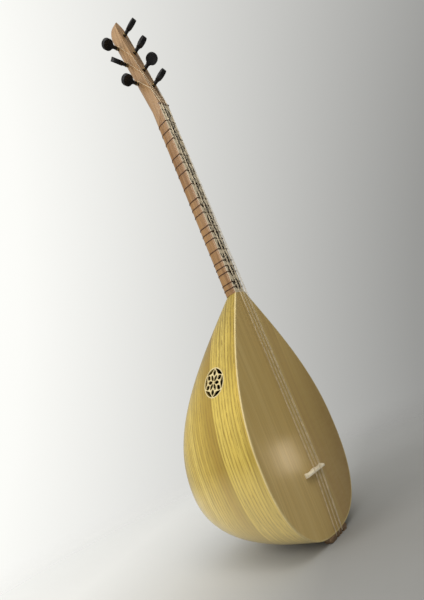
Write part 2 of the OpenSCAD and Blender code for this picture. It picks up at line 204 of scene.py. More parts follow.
class Finish(Wiring):
    """A material whose patterns follow the place on the piece."""

    def __init__(self, name, rough, coat=0.0, coat_rough=0.1, metal=0.0):
        self.material = bpy.data.materials.new(name)
        self.material.use_nodes = True
        super().__init__(self.material.node_tree)
        self.shader = self.tree.nodes["Principled BSDF"]
        self.shader.inputs["Roughness"].default_value = rough
        self.shader.inputs["Coat Weight"].default_value = coat
        self.shader.inputs["Coat Roughness"].default_value = coat_rough
        self.shader.inputs["Metallic"].default_value = metal
        if coat:
            self.shader.inputs["Specular IOR Level"].default_value = 0.2
        self.place = self.add("TexCoord").outputs["Object"]

    def stretched(self, x, y, z, source=None):
        """The place on the piece, scaled along each axis."""
        return self.add("Mapping", ("Vector", source or self.place), ("Scale", (x, y, z))).outputs[0]

    def noise(self, vector, scale, detail=3.0, roughness=0.55, distortion=0.0):
        """Smooth irregular values round 0.5."""
        node = self.add("TexNoise", ("Vector", vector), ("Scale", scale), ("Detail", detail),
                        ("Roughness", roughness), ("Distortion", distortion))
        return node.outputs["Fac"]

    def wandering(self, along, scale, reach, middle=(0, 0, 0)):
        """The place on the piece, moved by a slow noise, so that straight grain bends a little."""
        slow = self.add("TexNoise", ("Vector", self.stretched(1, 1, along)), ("Scale", scale),
                        ("Detail", 2.0))
        shift = self.add("VectorMath", (0, slow.outputs["Color"]), (1, middle), operation="SUBTRACT")
        shift = self.add("VectorMath", (0, shift.outputs[0]), (1, reach), operation="MULTIPLY")
        return self.add("VectorMath", (0, self.place), (1, shift.outputs[0]), operation="ADD").outputs[0]

    def colour(self, source):
        """Wires the surface colour."""
        self.tree.links.new(source, self.shader.inputs["Base Color"])

    def rough(self, source):
        """Wires the roughness."""
        self.tree.links.new(source, self.shader.inputs["Roughness"])

    def relief(self, height, distance, strength=1.0):
        """Wires a fine relief, distance in metres."""
        node = self.add("Bump", ("Height", height), ("Distance", distance), ("Strength", strength))
        self.tree.links.new(node.outputs[0], self.shader.inputs["Normal"])


def bowl_finish():
    """Mulberry: thin olive rings in sheets along Y, a broad honey zone, short pores, paler low down by
    painted reflection, darker up to the throat by painted shade.
    """
    wood = Finish("bowl_wood", 0.42, coat=0.6, coat_rough=0.06)
    bent = wood.wandering(0.35, 7.0, (0, 0.017, 0), middle=(0.5, 0.5, 0.5))
    sheets = wood.stretched(0.10, 1.0, 0.03, bent)
    zones = wood.noise(sheets, 26.0, 2.0, 0.5)
    streaks = wood.noise(sheets, 150.0, 3.0, 0.6)
    hairs = wood.noise(wood.stretched(0.3, 1.0, 0.012, bent), 900.0, 2.0, 0.6)
    rings = wood.add("TexWave", ("Vector", sheets), ("Scale", 44.0), ("Distortion", 4.0), ("Detail", 3.0),
                     ("Detail Scale", 22.0), wave_type="BANDS", bands_direction="Y", wave_profile="SAW")
    behind = wood.add("SeparateXYZ", ("Vector", bent)).outputs["Y"]
    honey = wood.ramp(wood.maths("MULTIPLY", behind, 4.0), (0.268, 0.0), (0.278, 0.85), (0.35, 0.70),
                      (0.43, 0.30), (0.62, 0.12), (0.80, 0.25))
    base = wood.ramp(zones, (0.30, (0.52, 0.345, 0.045)), (0.43, (0.60, 0.430, 0.066)),
                     (0.55, (0.66, 0.495, 0.095)), (0.70, (0.72, 0.570, 0.150)))
    base = wood.mix(honey, base, (0.29, 0.170, 0.014))
    tinted = wood.mix(wood.ramp(streaks, (0.38, 0.75), (0.55, 0.0)), base, (0.36, 0.250, 0.028))
    ring_dark = wood.ramp(rings.outputs["Fac"], (0.62, 0.0), (0.88, 0.75), (0.97, 1.0), (1.0, 0.0))
    ringed = wood.mix(ring_dark, tinted, (0.25, 0.160, 0.018))
    pale = wood.mix(wood.ramp(hairs, (0.30, 0.35), (0.50, 0.0)), ringed, (0.26, 0.18, 0.03))
    clouds = wood.noise(wood.stretched(1, 1, 0.5), 9.0, 3.0)
    shaded = wood.mix(wood.ramp(clouds, (0.35, 0.22), (0.6, 0.0)), pale, (0.23, 0.155, 0.018))
    height = wood.maths("MULTIPLY", wood.add("SeparateXYZ", ("Vector", wood.place)).outputs["Z"], 2.0)
    # Painted reflection: the lower part of the bowl is blended towards pale yellow, as if the floor shone in
    # the lacquer.
    shaded = wood.mix(wood.ramp(height, (0.02, 0.50), (0.34, 0.0)), shaded, (0.86, 0.70, 0.36))
    # Painted shade: the colour is multiplied darker towards the throat.
    painted_throat_shade = wood.ramp(height, (0.52, (1.0, 1.0, 1.0)), (0.84, (0.66, 0.64, 0.60)))
    wood.colour(wood.mix(1.0, shaded, painted_throat_shade, "MULTIPLY"))
    wood.rough(wood.ramp(hairs, (0.2, 0.46), (0.8, 0.32)))
    wood.relief(wood.mix(0.5, hairs, streaks), 0.00012, 0.35)
    return wood.material


def drawn_over(across, along, place):
    """A grid laid over a surface: place gives a point for two shares from 0 to 1."""
    made = bmesh.new()
    bmesh.ops.create_grid(made, x_segments=across, y_segments=along, size=0.5)
    reach = max(v.co.x for v in made.verts)
    for vertex in made.verts:
        vertex.co = place(vertex.co.x / reach / 2 + 0.5, vertex.co.y / reach / 2 + 0.5)
    bmesh.ops.remove_doubles(made, verts=made.verts, dist=0.00002)
    return made


shell = drawn_over(190, 150, lambda share, turn: skin(height_at(share), 180 * turn))


def from_rosette(point):
    """Distance from the rosette's middle, measured along the flank, in millimetres."""
    step = point - rosette_middle
    return Vector((step.dot(rosette_side), step.dot(rosette_up))).length / MM


inside_hole = [f for f in shell.faces if f.calc_center_median().x < 0
               and from_rosette(f.calc_center_median()) < ROSETTE_RADIUS - 0.4]
bmesh.ops.delete(shell, geom=inside_hole, context="FACES")
for vertex in shell.verts:
    if vertex.is_boundary and vertex.co.x < 0 and from_rosette(vertex.co) < ROSETTE_RADIUS + 4:
        step = vertex.co - rosette_middle
        flat = Vector((step.dot(rosette_side), step.dot(rosette_up))).normalized()
        vertex.co = on_flank(flat.x * (ROSETTE_RADIUS - 0.9), flat.y * (ROSETTE_RADIUS - 0.9), 0)
throat = [e for e in shell.edges if e.is_boundary
          and min(v.co.z for v in e.verts) > (TAIL + BODY_LENGTH - 0.05) * MM]
bmesh.ops.contextual_create(shell, geom=throat)
bmesh.ops.recalc_face_normals(shell, faces=shell.faces)
probe = max(shell.faces, key=lambda f: f.calc_center_median().y)
if probe.normal.y < 0:
    bmesh.ops.reverse_faces(shell, faces=shell.faces)
bmesh.ops.solidify(shell, geom=shell.faces, thickness=BOWL_WALL * MM)
bowl_wood = bowl_finish()
new_piece("bowl", shell, "instrument", bowl_wood, stands_for=["bowl"])


# ---- Rosette ------------------------------------------------------------------------------
# Fret-sawn from pale wood and glued flush in the hole of the flank: six petals round a small
# bead, six lozenges between them and six crescents under the ring.
def pale_finish(name, tint, dark):
    """Close-grained pale wood with a satin surface and darker mottles."""
    wood = Finish(name, 0.42, coat=0.25, coat_rough=0.2)
    grain = wood.noise(wood.stretched(1, 1, 0.12), 700.0, 3.0)
    cloud = wood.noise(wood.place, 60.0, 2.0)
    toned = wood.mix(wood.ramp(grain, (0.35, 0.45), (0.6, 0.0)), tint, dark)
    wood.colour(wood.mix(wood.ramp(cloud, (0.35, 0.3), (0.6, 0.0)), toned, dark))
    wood.relief(grain, 0.0001, 0.3)
    return wood.material


def traced(name, paths, closed, **settings):
    """The mesh of a curve along lists of (x, y, z) points."""
    data = bpy.data.curves.new(name, "CURVE")
    for key, value in settings.items():
        setattr(data, key, value)
    for path in paths:
        line = data.splines.new("POLY")
        line.points.add(len(path) - 1)
        line.use_cyclic_u = closed
        for point, place in zip(line.points, path):
            point.co = (*place, 1)
    holder = bpy.data.objects.new(name, data)
    bpy.context.scene.collection.objects.link(holder)
    mesh = bpy.data.meshes.new_from_object(holder.evaluated_get(bpy.context.evaluated_depsgraph_get()))
    bpy.data.objects.remove(holder)
    bpy.data.curves.remove(data)
    return mesh


def circle(steps=96):
    """A round loop of radius 1."""
    return [(math.cos(2 * math.pi * i / steps), math.sin(2 * math.pi * i / steps)) for i in range(steps)]


def petal(length, width, out, turn, steps=22, sharp=0.35):
    """A pointed oval window at a distance from the middle, turned round it."""
    loop = []
    for i in range(steps):
        angle = 2 * math.pi * i / steps
        along = out + length * math.cos(angle)
        side = width * math.sin(angle) * (1 - sharp + sharp * abs(math.sin(angle)))
        loop.append((along * math.cos(turn) - side * math.sin(turn),
                     along * math.sin(turn) + side * math.cos(turn)))
    return loop


def crescent(low, high, turn, spread, steps=12):
    """A window under the ring: its outer side follows the ring, its inner side is pointed."""
    outside_arc = [(high, turn - spread + 2 * spread * i / steps) for i in range(steps + 1)]
    inside_arc = [(low + (high - low) * 0.78 * abs(1 - 2 * i / steps) ** 1.5,
                   turn + 0.96 * spread * (1 - 2 * i / steps)) for i in range(steps + 1)]
    return [(r * math.cos(a), r * math.sin(a)) for r, a in outside_arc + inside_arc]


PLATE, PLATE_EDGE = 1.7, 0.14
loops = [circle()]
for k in range(6):
    on_petal, between = math.radians(60 * k), math.radians(30 + 60 * k)
    loops.append(petal(0.225, 0.122, 0.325, on_petal))
    loops.append(petal(0.205, 0.155, 0.635, between, sharp=0.7))
    loops.append(crescent(0.66, 0.93, on_petal, math.radians(27)))
windows = [[(across * ROSETTE_RADIUS, up * ROSETTE_RADIUS, 0) for across, up in loop] for loop in loops]
lattice = bmesh.new()
lattice.from_mesh(traced("lattice", windows, True, dimensions="2D", fill_mode="BOTH", extrude=PLATE / 2,
                         bevel_depth=PLATE_EDGE, bevel_resolution=1, offset=-PLATE_EDGE))
bead = bmesh.ops.create_uvsphere(lattice, u_segments=32, v_segments=16, radius=1)
for vertex in bead["verts"]:
    vertex.co = Vector((vertex.co.x * 1.5, vertex.co.y * 1.5, 0.8 + vertex.co.z * 0.7))
bmesh.ops.recalc_face_normals(lattice, faces=lattice.faces)
for vertex in lattice.verts:
    vertex.co = on_flank(vertex.co.x, vertex.co.y, vertex.co.z - 0.8)
rosette_wood = pale_finish("rosette_wood", (0.66, 0.56, 0.30), (0.40, 0.28, 0.10))
new_piece("side_rosette", lattice, "instrument", rosette_wood, smooth=0.9,
          stands_for=["side_rosette"])


# ---- Soundboard ---------------------------------------------------------------------------
# A flat plate of quarter-sawn spruce, 3 mm thick, glued on the bowl's rim. Fine straight grain
# runs up it, with a few darker stripes on the treble side, under satin lacquer.
BINDING = 2.6
OUTLINE_STEPS = 140


def edge_point(share, inset):
    """A point of the treble outline moved inwards, in millimetres above the lower edge."""
    low = max(0.02, height_at(max(0.0, share - 0.004)))
    high = height_at(min(1.0, share + 0.004))
    slope = Vector((half_width(high) - half_width(low), high - low)).normalized()
    z = max(0.02, height_at(share))
    if share >= 1 and inset:
        return half_width(BODY_LENGTH) - inset / slope.y, BODY_LENGTH
    return half_width(z) - inset * slope.y, z + inset * slope.x


def body_outline(inset):
    """The whole outline, up the treble side and down the bass side."""
    treble = [edge_point((i + 1) / OUTLINE_STEPS, inset) for i in range(OUTLINE_STEPS)]
    return treble + [(-x, z) for x, z in reversed(treble)]


def thicken(made, back):
    """Turns a flat mesh into a plate that reaches back to a distance from the front."""
    grown = bmesh.ops.extrude_face_region(made, geom=list(made.faces))
    for vertex in (g for g in grown["geom"] if isinstance(g, bmesh.types.BMVert)):
        vertex.co.y = back * MM
    bmesh.ops.recalc_face_normals(made, faces=made.faces)


def soundboard_finish():
    """Spruce: fine lines up the board, broad soft bands, darker stripes and faint cross silk, with painted
    shade towards the lower treble side.
    """
    wood = Finish("soundboard_wood", 0.42, coat=0.4, coat_rough=0.16)
    wander = wood.noise(wood.stretched(1, 0, 0.6), 4.0, 2.0)
    split = wood.add("SeparateXYZ", ("Vector", wood.place))
    across = wood.maths("ADD", split.outputs["X"], wood.maths("MULTIPLY", wander, 0.018))
    line = wood.add("CombineXYZ", ("X", across), ("Z", wood.maths("MULTIPLY", split.outputs["Z"], 0.006)))
    fine = wood.noise(line.outputs[0], 620.0, 2.0, 0.6)
    bands = wood.noise(line.outputs[0], 45.0, 2.0, 0.5)
    hairs = wood.noise(wood.stretched(1, 0, 0.02), 1800.0, 2.0)
    base = wood.ramp(bands, (0.30, (0.52, 0.360, 0.125)), (0.48, (0.58, 0.415, 0.150)),
                     (0.70, (0.62, 0.460, 0.180)))
    # Painted shade: the board grows darker towards the treble side and its lower end.
    shade = wood.maths("ADD", wood.maths("MULTIPLY", split.outputs["X"], 3.2),
                       wood.maths("MULTIPLY", split.outputs["Z"], -1.1))
    shade = wood.ramp(wood.maths("ADD", shade, 0.5), (0.32, 0.0), (0.95, 0.95))
    base = wood.mix(shade, base, (0.20, 0.112, 0.036))
    lined = wood.mix(wood.ramp(fine, (0.36, 0.34), (0.54, 0.0)), base, (0.34, 0.22, 0.08))
    stripe = wood.ramp(across, (0.040, 0.0), (0.044, 0.40), (0.050, 0.05), (0.058, 0.05),
                       (0.062, 0.34), (0.066, 0.0))
    striped = wood.mix(stripe, lined, (0.33, 0.19, 0.085))
    silk = wood.noise(wood.stretched(0.25, 0, 1), 160.0, 3.0)
    wood.colour(wood.mix(wood.ramp(silk, (0.4, 0.12), (0.62, 0.0)), striped, (0.52, 0.40, 0.18)))
    wood.rough(wood.ramp(fine, (0.3, 0.44), (0.7, 0.33)))
    wood.relief(wood.mix(0.4, fine, hairs), 0.00008, 0.3)
    return wood.material


GLUE = 0.02
board = bmesh.new()
outline = body_outline(BINDING + GLUE)
ring = bmesh.ops.create_circle(board, segments=len(outline), radius=1, cap_ends=True)["verts"]
for vertex, (x, z) in zip(ring, outline):
    vertex.co = Vector((x, 0, z + TAIL)) * MM
thicken(board, TOP - GLUE)
soundboard_wood = soundboard_finish()
new_piece("soundboard", board, "instrument", soundboard_wood, smooth=0.5,
          stands_for=["soundboard"])


# ---- Binding ------------------------------------------------------------------------------
# A pale strip of maple let into the edge all round the soundboard, from the neck down to the
# string holder and up again, its outer corner rounded over.
strip = bmesh.new()
outer = [Vector((x, 0, z + TAIL)) * MM for x, z in body_outline(0.0)]
inner = [Vector((x, 0, z + TAIL)) * MM for x, z in body_outline(BINDING)]
loops = []
for places in (outer, inner):
    ring = bmesh.ops.create_circle(strip, segments=len(places), radius=1)["verts"]
    for vertex, place in zip(ring, places):
        vertex.co = place
    loops += list({e for v in ring for e in v.link_edges})
bmesh.ops.bridge_loops(strip, edges=loops)
across_neck = [f for f in strip.faces if all(v.co.z > (TAIL + BODY_LENGTH - 0.01) * MM for v in f.verts)]
bmesh.ops.delete(strip, geom=across_neck, context="FACES")
thicken(strip, TOP - GLUE)
corner = [e for e in strip.edges if all(abs(v.co.y) < 1e-7 for v in e.verts)
          and any(abs(f.normal.y) < 0.5 for f in e.link_faces)
          and all(outside(v.co + Vector((0, TOP * MM, 0))) > -0.001 for v in e.verts)]
bmesh.ops.bevel(strip, geom=corner, offset=0.7 * MM, offset_type="OFFSET", segments=3,
                profile=0.5, affect="EDGES", material=-1)
binding_wood = pale_finish("binding_wood", (0.62, 0.50, 0.24), (0.46, 0.33, 0.12))
new_piece("soundboard_binding", strip, "instrument", binding_wood, smooth=0.7,
          stands_for=["soundboard_binding"])


# ---- String holder ------------------------------------------------------------------------
# A dark hardwood block glued on the lower end, carved into lobes. The strings pass through the
# slots between the lobes and hook on underneath.
def dark_finish(name, tint, light, rough=0.4):
    """Dark hardwood with light flecks along the grain."""
    wood = Finish(name, rough, coat=0.3, coat_rough=0.2)
    grain = wood.noise(wood.stretched(0.15, 1, 1), 420.0, 3.0)
    cloud = wood.noise(wood.place, 45.0, 2.0)
    toned = wood.mix(wood.ramp(grain, (0.42, 0.0), (0.64, 0.75)), tint, light)
    wood.colour(wood.mix(wood.ramp(cloud, (0.4, 0.35), (0.62, 0.0)), toned, tint))
    wood.rough(wood.ramp(grain, (0.3, rough - 0.06), (0.7, rough + 0.14)))
    wood.relief(grain, 0.00018, 0.5)
    return wood.material


def dressed_copy(node, corner):
    """A merged copy of a CAD node's mesh with its sharp edges rounded."""
    made = bmesh.new()
    made.from_mesh(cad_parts[node].data)
    bmesh.ops.remove_doubles(made, verts=made.verts, dist=0.000004)
    bmesh.ops.dissolve_limit(made, angle_limit=0.02, verts=made.verts, edges=made.edges)
    sharp = [e for e in made.edges if len(e.link_faces) == 2 and e.calc_face_angle() > 0.5]
    bmesh.ops.bevel(made, geom=sharp, offset=corner * MM, offset_type="OFFSET", segments=2,
                    profile=0.5, affect="EDGES", material=-1, clamp_overlap=True)
    return made


holder_wood = dark_finish("holder_wood", (0.125, 0.075, 0.038), (0.26, 0.17, 0.095))
new_piece("string_holder", dressed_copy("string_holder", 0.45), "instrument", holder_wood, smooth=0.6,
          stands_for=["string_holder"])


# ---- Neck ---------------------------------------------------------------------------------
# Hardwood with flat sides and a round back, 27 mm wide. It ends in a tenon in the bowl, and its
# upper end is cut to a long slope for the head.
SCALE, BRIDGE_UP = 750.0, 101.0
NUT = TAIL + BRIDGE_UP + SCALE
JOINT = TAIL + BODY_LENGTH
BOARD = 3.0
LEAN = math.radians(7.85)
BEND = 90.0
HEAD = 245.0


def neck_loop(half, front, back, corner):
    """Points round the section: front, side, round back, side, as (across, behind)."""
    flat_end = max(back - half, front + corner + 0.4)
    deep = back - flat_end
    loop = [(-half + corner + (2 * half - 2 * corner) * i / 8, front) for i in range(9)]
    loop += [(half - corner * (1 - math.sin(a)), front + corner * (1 - math.cos(a)))
             for a in (math.pi / 6, math.pi / 3, math.pi / 2)]
    loop += [(half, front + corner + (flat_end - front - corner) * i / 6) for i in range(1, 6)]
    loop += [(half * math.cos(math.pi * i / 40), flat_end + deep * math.sin(math.pi * i / 40))
             for i in range(41)]
    loop += [(-half, flat_end + (front + corner - flat_end) * i / 6) for i in range(1, 6)]
    loop += [(-half + corner * (1 - math.sin(a)), front + corner * (1 - math.cos(a)))
             for a in (math.pi / 2, math.pi / 3, math.pi / 6)]
    return loop


def along_neck(across, behind, up):
    """A point on the straight neck, in metres."""
    return Vector((across, behind, up)) * MM


def along_head(across, behind, up):
    """A point in the leaning head's own frame: up counts from the nut."""
    return Vector((across, behind * math.cos(LEAN) + up * math.sin(LEAN),
                   NUT + up * math.cos(LEAN) - behind * math.sin(LEAN))) * MM


def lofted(sections):
    """A solid through loops of points that all have the same number of points."""
    last, around = len(sections) - 1, len(sections[0])
    made = drawn_over(last, around, lambda u, v: sections[round(u * last)][round(v * around) % around])
    bmesh.ops.holes_fill(made, edges=[e for e in made.edges if e.is_boundary], sides=0)
    bmesh.ops.recalc_face_normals(made, faces=made.faces)
    return made


def cut_scarf(made, keep_above):
    """Cuts a piece along the long glue slope under the nut and closes it."""
    slope = math.radians(56)
    normal = Vector((0, math.sin(slope), math.cos(slope)))
    cut = bmesh.ops.bisect_plane(made, geom=list(made.verts) + list(made.edges) + list(made.faces),
                                 plane_co=Vector((0, 0, NUT - 8)) * MM, plane_no=normal,
                                 clear_outer=not keep_above, clear_inner=keep_above)
    rim = [g for g in cut["geom_cut"] if isinstance(g, bmesh.types.BMEdge)]
    bmesh.ops.contextual_create(made, geom=rim)
    bmesh.ops.recalc_face_normals(made, faces=made.faces)


def hardwood_finish(name, tint, light, dark):
    """Tan hardwood: straight grain with ribbon shading, short dark pores and a satin lacquer."""
    wood = Finish(name, 0.36, coat=0.35, coat_rough=0.16)
    bent = wood.wandering(0.3, 16.0, (0.006, 0.006, 0))
    grain = wood.noise(wood.stretched(1, 1, 0.03, bent), 330.0, 3.0, 0.6)
    ribbon = wood.noise(wood.stretched(1, 1, 0.12, bent), 70.0, 2.0)
    pores = wood.noise(wood.stretched(1, 1, 0.09), 1500.0, 1.0)
    base = wood.mix(wood.ramp(ribbon, (0.35, 0.0), (0.65, 1.0)), tint, light)
    lined = wood.mix(wood.ramp(grain, (0.36, 0.75), (0.56, 0.0)), base, dark)
    wood.colour(wood.mix(wood.ramp(pores, (0.30, 0.3), (0.38, 0.0)), lined, tuple(c * 0.45 for c in dark)))
    wood.rough(wood.ramp(grain, (0.3, 0.44), (0.7, 0.32)))
    wood.relief(wood.mix(0.5, grain, pores), 0.00004, 0.25)
    return wood.material


neck_wood = hardwood_finish("neck_wood", (0.25, 0.125, 0.040), (0.30, 0.162, 0.057), (0.155, 0.070, 0.020))
loop = neck_loop(NECK_HALF, BOARD + 0.01, NECK_DEPTH, 0.05)
heights = [JOINT + (NUT - 6 - JOINT) * i / 60 for i in range(61)]
neck = lofted([[along_neck(x, y, z) for x, y in loop] for z in heights])
cut_scarf(neck, keep_above=False)
tenon = bmesh.ops.create_cube(neck, size=1)["verts"]
for vertex in tenon:
    vertex.co = Vector((vertex.co.x * 16, 15 + vertex.co.y * 14, JOINT - 16.9 + vertex.co.z * 34)) * MM
new_piece("neck", neck, "instrument", neck_wood, smooth=0.5, stands_for=["neck"])


# ---- Head ---------------------------------------------------------------------------------
# The peg head is a separate piece of the same hardwood, glued on the slope under the nut. It
# leans back and ends in a pointed leaf; a fine bevel runs up both front edges.
NARROWS, SCARF = 208, 62


def head_half(up):
    """Half-width of the head's front, narrowing to the point."""
    return NECK_HALF * (1 - max(0.0, (up - NARROWS) / (HEAD - NARROWS)) ** 3)


def head_depth(up):
    """Depth of the head, its back curving up to the point."""
    share = min(1.0, max(0.0, (up - NARROWS) / (HEAD + 0.5 - NARROWS)))
    return NECK_DEPTH * math.sqrt(1 - share * share)


first = BEND * math.tan(LEAN / 2)
sections = []
for i in range(12):
    z = NUT - SCARF + (SCARF - first) * i / 11
    sections.append([along_neck(x, y, z) for x, y in neck_loop(NECK_HALF, BOARD + 0.01, NECK_DEPTH, 0.05)])
start = NUT - first
for i in range(1, 9):
    turn = LEAN * i / 8
    front = BOARD + 0.01 if i < 5 else 0.0
    edge = 0.05 if i < 5 else 0.7
    section = []
    for x, y in neck_loop(NECK_HALF, front, NECK_DEPTH, edge):
        out = BEND - y
        section.append(Vector((x, BEND - out * math.cos(turn), start + out * math.sin(turn))) * MM)
    sections.append(section)
ups = [first + (200 - first) * i / 60 for i in range(1, 61)]
ups += [200 + (HEAD - 0.4 - 200) * math.sin(math.pi / 2 * i / 26) for i in range(1, 27)]
for up in ups:
    half, deep = max(0.25, head_half(up)), max(0.6, head_depth(up))
    edge = min(0.9, half * 0.3, deep * 0.3)
    sections.append([along_head(x, y, up) for x, y in neck_loop(half, 0.0, deep, edge)])
head = lofted(sections)
cut_scarf(head, keep_above=True)
head_wood = hardwood_finish("head_wood", (0.32, 0.190, 0.088), (0.38, 0.235, 0.115), (0.22, 0.115, 0.048))
new_piece("head", head, "instrument", head_wood, smooth=0.55, stands_for=["head"])


# ---- Fingerboard --------------------------------------------------------------------------
# A 3 mm plank of pale wood glued on the neck, flush with the soundboard, its long edges
# bevelled. A dark scroll of vine and leaves is inlaid along it.
def fingerboard_finish():
    """Pale wood on the playing face, browner end fibres on the plank's sides."""
    wood = Finish("fingerboard_wood", 0.40, coat=0.3, coat_rough=0.2)
    grain = wood.noise(wood.stretched(1, 1, 0.03), 520.0, 3.0)
    cloud = wood.noise(wood.stretched(1, 1, 0.4), 40.0, 2.0)
    face = wood.mix(wood.ramp(grain, (0.36, 0.5), (0.58, 0.0)), (0.66, 0.58, 0.43), (0.44, 0.35, 0.22))
    face = wood.mix(wood.ramp(cloud, (0.40, 0.35), (0.62, 0.0)), face, (0.50, 0.43, 0.31))
    flank = wood.mix(wood.ramp(grain, (0.36, 0.7), (0.56, 0.0)), (0.29, 0.145, 0.050), (0.18, 0.080, 0.024))
    depth = wood.add("SeparateXYZ", ("Vector", wood.place)).outputs["Y"]
    side = wood.ramp(wood.maths("MULTIPLY", depth, 200.0), (0.13, 0.0), (0.17, 1.0))
    wood.colour(wood.mix(side, face, flank))
    wood.relief(grain, 0.0001, 0.3)
    return wood.material


made = bmesh.new()
bmesh.ops.create_cube(made, size=1)
for vertex in made.verts:
    vertex.co = Vector((vertex.co.x * 2 * NECK_HALF, (vertex.co.y + 0.5) * (BOARD - 0.01),
                        JOINT + (vertex.co.z + 0.5) * (NUT - 1.5 - JOINT))) * MM
rim = [e for e in made.edges if all(abs(v.co.y) < 1e-7 for v in e.verts)
       and abs(e.verts[0].co.z - e.verts[1].co.z) > 0.1]
bmesh.ops.bevel(made, geom=rim, offset=0.8 * MM, offset_type="OFFSET", segments=3, profile=0.5,
                affect="EDGES", material=-1)
board_wood = fingerboard_finish()
new_piece("fingerboard", made, "instrument", board_wood, smooth=0.5,
          stands_for=["fingerboard"])


def ribbon(made, middle, half_at, lift):
    """A flat stroke along a list of points (across, up), its half-width given by share."""
    count = len(middle) - 1
    before = set(made.verts)
    bmesh.ops.create_grid(made, x_segments=count, y_segments=1, size=0.5)
    fresh = [v for v in made.verts if v not in before]
    reach = max(v.co.x for v in fresh)
    for vertex in fresh:
        share = vertex.co.x / reach / 2 + 0.5
        i = round(share * count)
        here, ahead, behind = middle[i], middle[min(count, i + 1)], middle[max(0, i - 1)]
        along = Vector((ahead[0] - behind[0], ahead[1] - behind[1])).normalized()
        off = half_at(share) * (1 if vertex.co.y > 0 else -1)
        across = max(-NECK_HALF + 0.9, min(NECK_HALF - 0.9, here[0] - along.y * off))
        vertex.co = Vector((across, -lift, here[1] + along.x * off)) * MM


def scroll_of_vines():
    """A wavy stem with spiral shoots and pointed leaves, from the bowl to the nut."""
    chance = random.Random(7)
    made = bmesh.new()
    low, high, wave = JOINT + 3, NUT - 4, 54.0
    stem = []
    for i in range(int((high - low) / 1.2)):
        z = low + i * 1.2
        stem.append((7.2 * math.sin(2 * math.pi * (z - low) / wave), z))
    ribbon(made, stem, lambda s: 1.45, 0.030)
    turns = int((high - low) / (wave / 2))
    for k in range(turns):
        side = 1 if k % 2 == 0 else -1
        root = low + wave / 4 + k * wave / 2
        for arm, size in ((1, 6.4), (-1, 5.2)):
            middle = []
            for i in range(34):
                share = i / 33
                angle = math.radians(-20 + 470 * share)
                radius = size * (1 - 0.86 * share)
                middle.append((side * (1.4 - radius * math.cos(angle) * 0.95),
                               root + arm * (3.5 + radius * math.sin(angle) * 1.25)))
            ribbon(made, middle, lambda s: 1.8 * (1 - 0.6 * s) + 0.35, 0.032)
        for leaf in range(3):
            out = side * (-3.0 - 3.4 * leaf + chance.uniform(-0.6, 0.6))
            up = root + (leaf - 1) * 6.4 + chance.uniform(-0.8, 0.8)
            lean = chance.uniform(-0.7, 0.7)
            blade = [(out + side * -4.4 * t * math.sin(lean + 1.2), up + 6.2 * (t - 0.3) * math.cos(lean))
                     for t in (i / 9 for i in range(10))]
            ribbon(made, blade, lambda s: 1.8 * max(0.0, math.sin(math.pi * s)) ** 0.8 + 0.05, 0.034)
    for face in made.faces:
        face.normal_update()
        if face.normal.y > 0:
            face.normal_flip()
    return made


ebony = dark_finish("inlay_wood", (0.008, 0.007, 0.006), (0.03, 0.022, 0.016), 0.35)
new_piece("fingerboard_scroll", scroll_of_vines(), "instrument", ebony, smooth=0)


# ---- Nut ----------------------------------------------------------------------------------
# A thin dark strip across the neck with a notch for every string.
nut_wood = dark_finish("nut_wood", (0.10, 0.050, 0.026), (0.20, 0.11, 0.06))
new_piece("nut", dressed_copy("nut", 0.12), "instrument", nut_wood, smooth=0.5,
          stands_for=["nut"])


# ---- Tied frets ---------------------------------------------------------------------------
# Each fret is three turns of brown nylon line tied tightly round neck and fingerboard, with its
# knot on the treble side. It holds by friction and can be pushed along to retune it.
RATIOS = (18 / 17, 12 / 11, 9 / 8, 81 / 68, 27 / 22, 81 / 64, 4 / 3, 24 / 17, 16 / 11, 3 / 2,
          27 / 17, 18 / 11, 27 / 16, 16 / 9, 32 / 17, 64 / 33, 2, 36 / 17, 24 / 11)
LINE = 0.31


def wires(name, paths, radius, closed=False, sides=3):
    """Round wire along lists of points in metres, as a mesh."""
    return traced(name, paths, closed, dimensions="3D", bevel_depth=radius * MM,
                  bevel_resolution=sides, use_fill_caps=True)


def nylon_finish():
    """Dark brown nylon: slightly translucent sheen with fine twist marks and worn lighter spots."""
    line = Finish("fret_nylon", 0.38, coat=0.2, coat_rough=0.2)
    wear = line.noise(line.place, 220.0, 2.0)
    twist = line.noise(line.stretched(1, 1, 3), 1400.0, 2.0)
    line.colour(line.ramp(wear, (0.3, (0.040, 0.016, 0.008)), (0.6, (0.085, 0.034, 0.014)),
                          (0.85, (0.14, 0.060, 0.025))))
    line.relief(twist, 0.00008, 0.5)
    return line.material


nylon = nylon_finish()
for number, ratio in enumerate(RATIOS, 1):
    up = NUT - SCALE * (1 - 1 / ratio)
    gap = 0.14 + LINE
    loop = neck_loop(NECK_HALF + gap, -gap, NECK_DEPTH + gap, 0.5)
    turns = [[along_neck(x, y, up + k * LINE * 1.9) for x, y in loop] for k in (-1, 0, 1)]
    made = bmesh.new()
    made.from_mesh(wires("turns", turns, LINE, closed=True, sides=2))
    side = NECK_HALF + gap + 0.1
    knot = [(side, 8 + 1.3 * math.cos(a), up + 0.75 * math.sin(2 * a)) for a in
            (2 * math.pi * i / 24 for i in range(24))]
    made.from_mesh(wires("knot", [[along_neck(*p) for p in knot]], 0.3, closed=True, sides=2))
    tails = [[along_neck(side, 8.8, up + s * 0.2), along_neck(side + 0.1, 9.8, up + s * 0.6),
              along_neck(side, 10.9, up + s * 0.7)] for s in (-1, 1)]
    made.from_mesh(wires("ends", tails, 0.25, sides=2))
    name = f"fret_{number:02d}"
    new_piece(name, made, name, nylon, smooth=1.2, stands_for=[name])


# ---- Pegs ---------------------------------------------------------------------------------
# Seven turned pegs, stained black: four through the front of the head, three through its bass
# side. Each has a tapered shaft, a collar, and a round thumb disc hollowed on both faces.
PEG_OUT, DISC, DISC_THICK = 41.0, 11.8, 9.6
SHAFT, TAPER = 3.6, 0.014
SIDE_BEHIND = 21.0
side_across = -math.sqrt(NECK_HALF**2 - (SIDE_BEHIND - (NECK_DEPTH - NECK_HALF)) ** 2)


